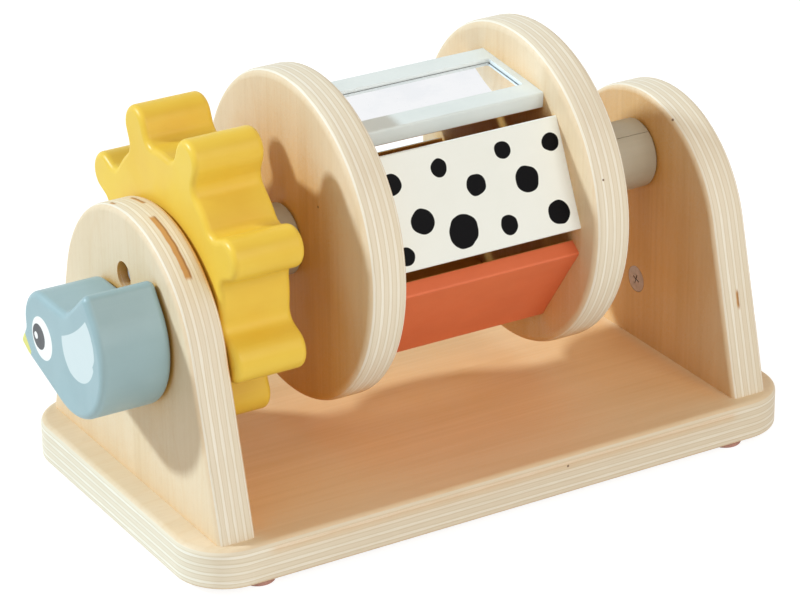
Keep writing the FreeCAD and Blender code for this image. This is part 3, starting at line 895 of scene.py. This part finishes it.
# %% [markdown]
# ## Screws
# The solids of the screws are plain turned shapes. Real screws have a cross recess for the driver
# and a thread, so each is made again here and stands in for its solid. The head and shank are a
# profile spun round the X axis, and the recess is a cross cut away with a Boolean modifier. The
# screws that hold the knobs get a browner zinc, which is a painted reflection of the wood round
# them.

# %% Screw finishes
ZINC = (colour("CBD6E0"), colour("AEBAC5"))
ZINC_PAINTED_WOOD_REFLECTION = (colour("AE978B"), colour("9A857A"))


def screw_finish(name, light, dark, metallic):
    """Thin plating over steel, cloudy and a little dusty."""
    material, tree, shader, place = start_material(name)
    shader.inputs["Metallic"].default_value = metallic
    cloud = noise(tree, place["Point"], 0.5, 4.0, 0.6)
    wire(tree, shader.inputs["Base Color"], mix(tree, rise(tree, cloud, 0.3, 0.7), light, dark))
    touch = use(tree, handling, Point=place["Point"])
    wire(tree, shader.inputs["Roughness"], maths(tree, "MULTIPLY_ADD", touch["Dust"], 0.25, 0.4))
    raise_surface(tree, shader, cloud, 0.01)
    return material


zinc = screw_finish("zinc plate", *ZINC, metallic=0.45)
# The knob screws' browner tint is a painted reflection of the wood round them.
zinc_painted_wood_reflection = screw_finish("wood_reflection_painted zinc plate", *ZINC_PAINTED_WOOD_REFLECTION, metallic=0.8)
print("made", zinc.name, "and", zinc_painted_wood_reflection.name)

# %% Spinning a profile
ROUND_STEPS = 64
SHARP_ANGLE = math.radians(32)


def spin(profile):
    """Closed mesh from a profile of (along, radius) points that starts and ends on the X axis."""
    built = bmesh.new()
    rings = []
    for along, radius in profile:
        if radius == 0:
            rings.append([built.verts.new((along, 0, 0))])
            continue
        ring = []
        for step in range(ROUND_STEPS):
            turn = 2 * math.pi * step / ROUND_STEPS
            ring.append(built.verts.new((along, radius * math.cos(turn), radius * math.sin(turn))))
        rings.append(ring)
    for one, other in zip(rings, rings[1:]):
        for step in range(ROUND_STEPS):
            following = (step + 1) % ROUND_STEPS
            if len(one) == 1:
                built.faces.new((one[0], other[following], other[step]))
            elif len(other) == 1:
                built.faces.new((one[step], one[following], other[0]))
            else:
                built.faces.new((one[step], one[following], other[following], other[step]))
    bmesh.ops.recalc_face_normals(built, faces=built.faces)
    return built


def keep(built, name):
    """Turns a built mesh into an object with smooth faces and crisp corners."""
    for edge in built.edges:
        edge.smooth = len(edge.link_faces) == 2 and edge.calc_face_angle(0) < SHARP_ANGLE
    for face in built.faces:
        face.smooth = True
    mesh = bpy.data.meshes.new(name)
    built.to_mesh(mesh)
    built.free()
    piece = bpy.data.objects.new(name, mesh)
    bpy.context.scene.collection.objects.link(piece)
    return piece


print("a turned piece has", ROUND_STEPS, "steps round")

# %% Cross recess
CROSS_SPAN = 0.62
CROSS_ARM = 0.58
CROSS_SLOT = 0.06
CROSS_FOOT = 0.55
CUTTER_RISE = 1.0
CUTTER_TOP = 1.15


def cross_cutter(head_diameter, mouth, depth):
    """Cross with nearly straight walls, from a metre above the head's top down to a depth."""
    arm = CROSS_ARM * head_diameter * CROSS_SPAN
    slot = CROSS_SLOT * head_diameter * CROSS_SPAN
    outline = []
    for quarter in range(4):
        cosine, sine = math.cos(quarter * math.pi / 2), math.sin(quarter * math.pi / 2)
        for y, z in ((slot, slot), (arm, slot), (arm, -slot)):
            outline.append((y * cosine + z * sine, z * cosine - y * sine))
    built = bmesh.new()
    levels = []
    for along, size in ((mouth - CUTTER_RISE, CUTTER_TOP), (mouth + depth, CROSS_FOOT)):
        levels.append([built.verts.new((along, y * size, z * size)) for y, z in outline])
    top, bottom = levels
    built.faces.new(top)
    built.faces.new(list(reversed(bottom)))
    for here in range(len(outline)):
        following = (here + 1) % len(outline)
        built.faces.new((top[following], top[here], bottom[here], bottom[following]))
    bmesh.ops.recalc_face_normals(built, faces=built.faces)
    return keep(built, "cross_cutter")


def cut(piece, cutter):
    """Cuts one piece with another and keeps the result as the piece's own mesh."""
    modifier = piece.modifiers.new("recess", "BOOLEAN")
    modifier.operation = "DIFFERENCE"
    modifier.solver = "EXACT"
    modifier.object = cutter
    shaped = piece.evaluated_get(bpy.context.evaluated_depsgraph_get())
    piece.data = bpy.data.meshes.new_from_object(shaped)
    piece.modifiers.clear()
    bpy.data.objects.remove(cutter)


print("recess helpers ready")

# %% [markdown]
# A thread is a ridge wound round the shank. Hidden in wood, it needs no true helix: a saw-toothed
# profile spun round gives the same teeth in section. The sizes are in millimetres.

# %% Screw profiles
THREAD_PITCH = 1.6
THREAD_DEPTH = 0.45
FLAT_RIM = 0.3
FLAT_CORNER = (0.1, 0.15)
PAN_HEIGHT = 3.0
PAN_FLAT = 2.0
PAN_ROUND = 1.7
PAN_STEPS = 6
PAN_NECK = 0.6


def thread(start, end, radius):
    """Saw-toothed profile along a shank, ending in a point."""
    teeth = max(1, int((end - start) / THREAD_PITCH) - 2)
    points = []
    for tooth in range(teeth):
        at = start + tooth * THREAD_PITCH
        points += [(at, radius - THREAD_DEPTH), (at + 0.5 * THREAD_PITCH, radius)]
    points.append((start + teeth * THREAD_PITCH, radius - THREAD_DEPTH))
    return points + [(end, 0.0)]


def flat_head(head_radius, shank_radius, plain, length):
    """Countersunk screw with its top at 0."""
    neck = FLAT_RIM + head_radius - shank_radius
    along, inwards = FLAT_CORNER
    head = [(0, 0), (0, head_radius - inwards), (along, head_radius), (FLAT_RIM, head_radius)]
    shank = [(neck, shank_radius), (plain, shank_radius)]
    return head + shank + thread(plain, length, shank_radius)


def pan_head(head_radius, shank_radius, length):
    """Domed screw with its seat at 0 and its top on the minus side."""
    dome = [(-PAN_HEIGHT, 0), (-PAN_HEIGHT, PAN_FLAT)]
    for step in range(1, PAN_STEPS + 1):
        turn = step / PAN_STEPS * math.pi / 2
        along = -PAN_HEIGHT + PAN_ROUND * (1 - math.cos(turn))
        dome.append((along, PAN_FLAT + (head_radius - PAN_FLAT) * math.sin(turn)))
    seat = [(0.0, head_radius), (0.0, shank_radius)]
    return dome + seat + thread(PAN_NECK, length, shank_radius)


print("threads have a pitch of", THREAD_PITCH, "mm")

# %% Make the screws
RECESS_DEPTH = 0.32
RECESS_TURN = math.radians(20)
STAND_X = 6.6
UPRIGHT_MIDDLES = (-104.55, 117.75)
UPRIGHT_SCREWS_Y = (-35.0, 35.0)
UPRIGHT_SCREWS_Z = 3.0
AXLE_SEAT = 112.8
KNOB_SCREW_TOP = 103.5
BIRD_PIVOT_Z = 79.1
KNOB_PIVOT_Z = 43.6
UPRIGHT_HEAD = 4.0
AXLE_HEAD = 4.8
KNOB_HEAD = 5.3


def make_screws(name, profile, head_radius, recess_top, spots, body, finish):
    """One screw for each spot, joined in one piece that stands for the solid of that name."""
    whole = bmesh.new()
    for at, aim in spots:
        turned = spin([(along * MM, radius * MM) for along, radius in profile])
        screw = keep(turned, name + "_blank")
        depth = RECESS_DEPTH * head_radius * MM
        cutter = cross_cutter(2 * head_radius * MM, recess_top * MM, depth)
        cutter.data.transform(Matrix.Rotation(RECESS_TURN, 4, "X"))
        cut(screw, cutter)
        turn = Vector((1, 0, 0)).rotation_difference(Vector(aim)).to_matrix().to_4x4()
        screw.data.transform(Matrix.Translation(Vector(at) * MM) @ turn)
        whole.from_mesh(screw.data)
        bpy.data.objects.remove(screw)
    piece = keep(whole, name + "_with_recess")
    piece.data.materials.append(finish)
    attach(piece, body)
    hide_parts(name)
    print(piece.name, "has", len(piece.data.polygons), "faces")


upright_spots = [((x, y, UPRIGHT_SCREWS_Z), (0, 0, 1))
                 for x in UPRIGHT_MIDDLES for y in UPRIGHT_SCREWS_Y]
axle_spots = [((STAND_X + side * AXLE_SEAT, 0, AXLE_Z), (-side, 0, 0)) for side in (-1, 1)]
bird_spot = ((STAND_X - KNOB_SCREW_TOP, 0, BIRD_PIVOT_Z), (-1, 0, 0))
knob_spot = ((STAND_X + KNOB_SCREW_TOP, 0, KNOB_PIVOT_Z), (1, 0, 0))
upright_profile = flat_head(UPRIGHT_HEAD, 2.0, 15.6, 41.6)
axle_profile = pan_head(AXLE_HEAD, 2.0, 26.0)
knob_profile = flat_head(KNOB_HEAD, 2.5, 16.2, 26.2)
make_screws("upright_screws", upright_profile, UPRIGHT_HEAD, 0.0, upright_spots, "stand", zinc)
make_screws("axle_screws", axle_profile, AXLE_HEAD, -PAN_HEIGHT, axle_spots, "stand", zinc)
make_screws("bird_screw", knob_profile, KNOB_HEAD, 0.0, [bird_spot], "bird", zinc_painted_wood_reflection)
make_screws("round_knob_screw", knob_profile, KNOB_HEAD, 0.0, [knob_spot], "knob", zinc_painted_wood_reflection)

# %% [markdown]
# ## Floor
# The toy stands on a plain white table that runs out of the picture. To the lens the floor is
# almost white by itself, so that it meets the white background without a seam. A part of it stays
# ordinary matte white, which takes the toy's shadow. Light that bounces between the pieces sees
# only the matte white.

# %% Floor
FLOOR_REACH = 4.0
FLOOR_WHITE = 0.8
FLOOR_GLOW = 0.87
FLOOR_SHADOW_SHARE = 0.3
FLOOR_GAP = 0.05 * MM


def seen_directly(tree):
    """1 for what the lens, a reflection or a clear piece sees, and 0 for bounced light."""
    path = tree.nodes.new("ShaderNodeLightPath").outputs
    seen = maths(tree, "MAXIMUM", path["Is Camera Ray"], path["Is Glossy Ray"])
    return maths(tree, "MAXIMUM", seen, path["Is Transmission Ray"])


floor_mesh = bmesh.new()
bmesh.ops.create_grid(floor_mesh, x_segments=1, y_segments=1, size=FLOOR_REACH)
floor = keep(floor_mesh, "floor")
floor.location.z = -FLOOR_GAP
floor_white = bpy.data.materials.new("white table")
floor_white.use_nodes = True
tree = floor_white.node_tree
tree.nodes.clear()
seen = seen_directly(tree)
matte = tree.nodes.new("ShaderNodeBsdfDiffuse")
table_white = (FLOOR_WHITE, FLOOR_WHITE, FLOOR_WHITE, 1.0)
faint_white = (FLOOR_SHADOW_SHARE, FLOOR_SHADOW_SHARE, FLOOR_SHADOW_SHARE, 1.0)
wire(tree, matte.inputs["Color"], mix(tree, seen, table_white, faint_white))
glow = tree.nodes.new("ShaderNodeEmission")
wire(tree, glow.inputs["Strength"], maths(tree, "MULTIPLY", seen, FLOOR_GLOW))
both = tree.nodes.new("ShaderNodeAddShader")
wire(tree, both.inputs[0], matte.outputs[0])
wire(tree, both.inputs[1], glow.outputs[0])
output = tree.nodes.new("ShaderNodeOutputMaterial")
wire(tree, output.inputs["Surface"], both.outputs[0])
floor.data.materials.append(floor_white)
print("floor reaches", FLOOR_REACH, "m each way")

# %% [markdown]
# ## Light
# The studio has one hard light from the back left, which draws the bird's shadow on the upright
# and the cog's shadow on the drum, and soft light from everywhere else, a little more of it from
# the front. A sun lamp is the simplest hard light, because only its direction matters. The soft
# light is the world itself plus one large white area lamp, in front and above. The sun is a little
# cool and the world a little warm, so lit wood stays neutral and shaded wood turns warmer. To the
# lens the world is plain white.

# %% Light
SKY_LEVEL = 0.44
SKY_TINT = (1.0, 0.87, 0.70, 1.0)
SUN_LEVEL = 2.9
SUN_TINT = (0.70, 0.87, 1.0)
SUN_SPREAD = math.radians(5)
SUN_TRAVEL = Vector((0.70, -0.48, -0.55))
WHITE_SKY = (1.0, 1.0, 1.0, 1.0)
FRONT_LEVEL = 11.8
FRONT_SIZE = 1.2
FRONT_PLACE = Vector((0.1, -1.35, 0.95))

sky = bpy.data.worlds.new("white studio")
bpy.context.scene.world = sky
sky.use_nodes = True
tree = sky.node_tree
background = tree.nodes["Background"]
seen = seen_directly(tree)
wire(tree, background.inputs["Color"], mix(tree, seen, SKY_TINT, WHITE_SKY))
sky_strength = maths(tree, "MULTIPLY_ADD", seen, 1.0 - SKY_LEVEL, SKY_LEVEL)
wire(tree, background.inputs["Strength"], sky_strength)


def lamp(name, kind, power, travel, place):
    """Lamp that shines in the direction of travel."""
    made = bpy.data.objects.new(name, bpy.data.lights.new(name, kind))
    made.data.energy = power
    made.rotation_euler = travel.to_track_quat("-Z", "Y").to_euler()
    made.location = place
    bpy.context.scene.collection.objects.link(made)
    return made


sun = lamp("sun", "SUN", SUN_LEVEL, SUN_TRAVEL, -SUN_TRAVEL)
sun.data.angle = SUN_SPREAD
sun.data.color = SUN_TINT
front = lamp("front fill", "AREA", FRONT_LEVEL, CAMERA_TARGET - FRONT_PLACE, FRONT_PLACE)
front.data.size = FRONT_SIZE
print("lamps:", sun.name, "and", front.name)
